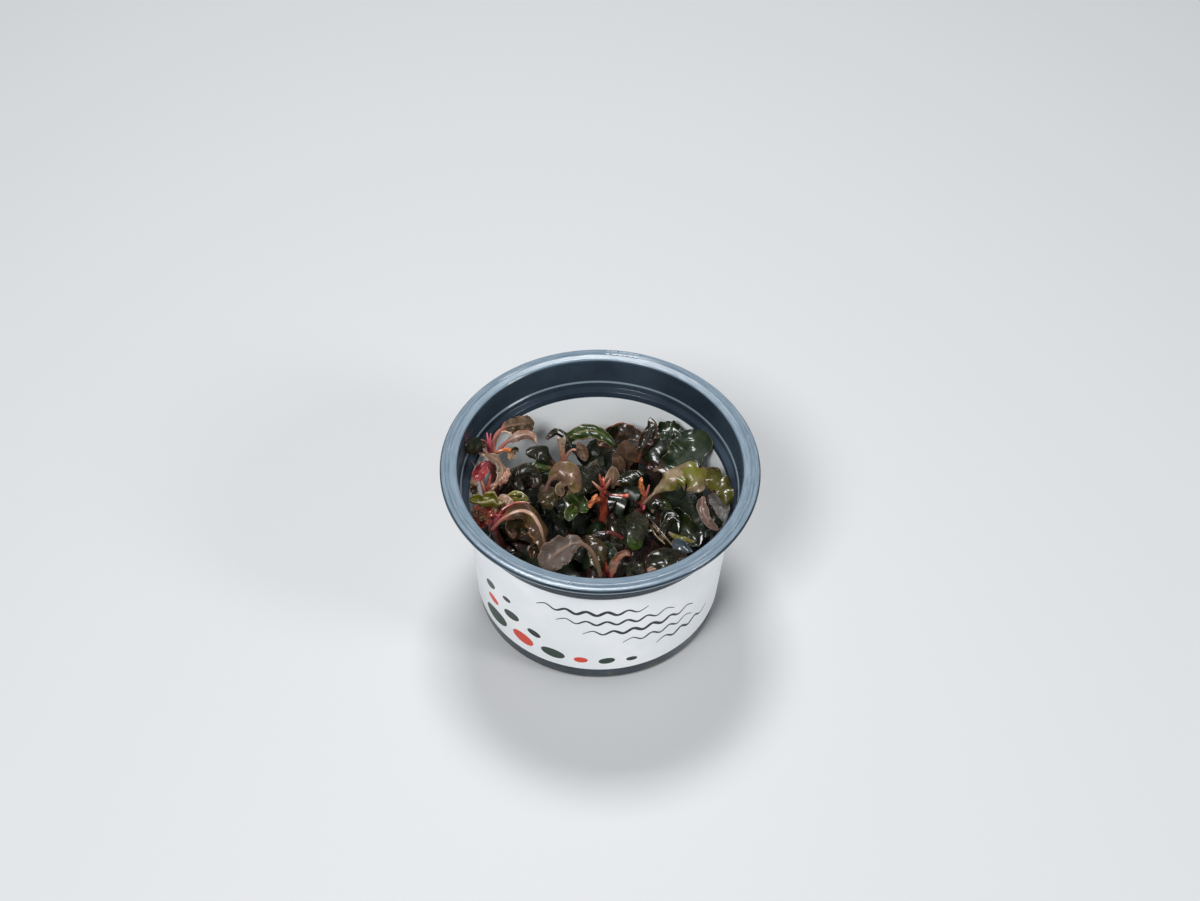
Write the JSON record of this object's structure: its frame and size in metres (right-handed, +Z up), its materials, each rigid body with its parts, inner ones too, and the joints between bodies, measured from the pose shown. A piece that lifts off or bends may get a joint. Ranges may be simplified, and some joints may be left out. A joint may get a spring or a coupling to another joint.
{
  "type": "bucephalandra plant in a tissue-culture cup",
  "caption": "Low aquarium plants with waved dark green and brown leaves on short red stems, growing in a round translucent plastic cup with a white wrap label.",
  "frame": {"origin": "centre of the foot ring's plane, on the surface that the cup stands on", "axes": "+Z up along the cup's centre line, -Y towards the front of the label as the picture shows it"},
  "size_m": [0.095, 0.095, 0.058],
  "materials": {
    "cup_plastic": "gloss",
    "label_paper": "satin",
    "gel": "gloss",
    "low_leaf": "satin",
    "beige": "satin",
    "brown": "satin",
    "dark": "gloss",
    "darkbrown": "satin",
    "gloss": "gloss",
    "green": "satin",
    "greybrown": "satin",
    "greygreen": "satin",
    "lilac": "satin",
    "maroon": "satin",
    "ochre": "satin",
    "olive": "satin",
    "olivebeige": "satin",
    "olivebrown": "satin",
    "olivedark": "gloss",
    "orange": "satin",
    "palebrown": "satin",
    "pink": "satin",
    "pinkbrown": "satin",
    "red": "satin",
    "slate": "gloss",
    "teal": "gloss",
    "yellow": "satin"
  },
  "bodies": {
    "root": {"cup": "cup_plastic", "label": "label_paper", "gel": "gel", "low_leaves": "low_leaf", "stem_left_back": "red", "stem_left_middle": "pink", "stem_left_front": "red", "stem_centre": "red", "stem_right": "maroon", "stem_front": "red", "stem_back": "maroon", "cut_stalk": "pink", "dead_stalk": "brown", "leaf_left_1": "brown", "leaf_left_2": "pink", "leaf_left_3": "dark", "leaf_left_4": "beige", "leaf_left_5": "red", "leaf_left_6": "yellow", "leaf_left_7": "beige", "leaf_left_8": "orange", "leaf_left_9": "olivebrown", "leaf_left_10": "olive", "leaf_left_11": "brown", "leaf_left_12": "olive", "leaf_back_1": "dark", "leaf_back_2": "darkbrown", "leaf_back_3": "gloss", "leaf_back_4": "green", "leaf_back_5": "palebrown", "leaf_back_6": "palebrown", "leaf_back_7": "dark", "leaf_back_8": "dark", "leaf_back_9": "darkbrown", "leaf_back_10": "palebrown", "leaf_centre_1": "olivedark", "leaf_centre_2": "ochre", "leaf_centre_3": "green", "leaf_centre_4": "green", "leaf_centre_5": "beige", "leaf_centre_6": "olive", "leaf_centre_7": "gloss", "leaf_right_1": "teal", "leaf_right_2": "gloss", "leaf_right_3": "brown", "leaf_right_4": "olive", "leaf_right_5": "olivebeige", "leaf_right_6": "pinkbrown", "leaf_right_7": "lilac", "leaf_right_8": "gloss", "leaf_right_9": "gloss", "leaf_right_10": "olivebrown", "leaf_front_1": "greybrown", "leaf_front_2": "olivebrown", "leaf_front_3": "pink", "leaf_front_4": "teal", "leaf_front_5": "maroon", "leaf_front_6": "greygreen", "leaf_front_7": "greygreen", "leaf_front_8": "slate"}
  },
  "joints": []
}
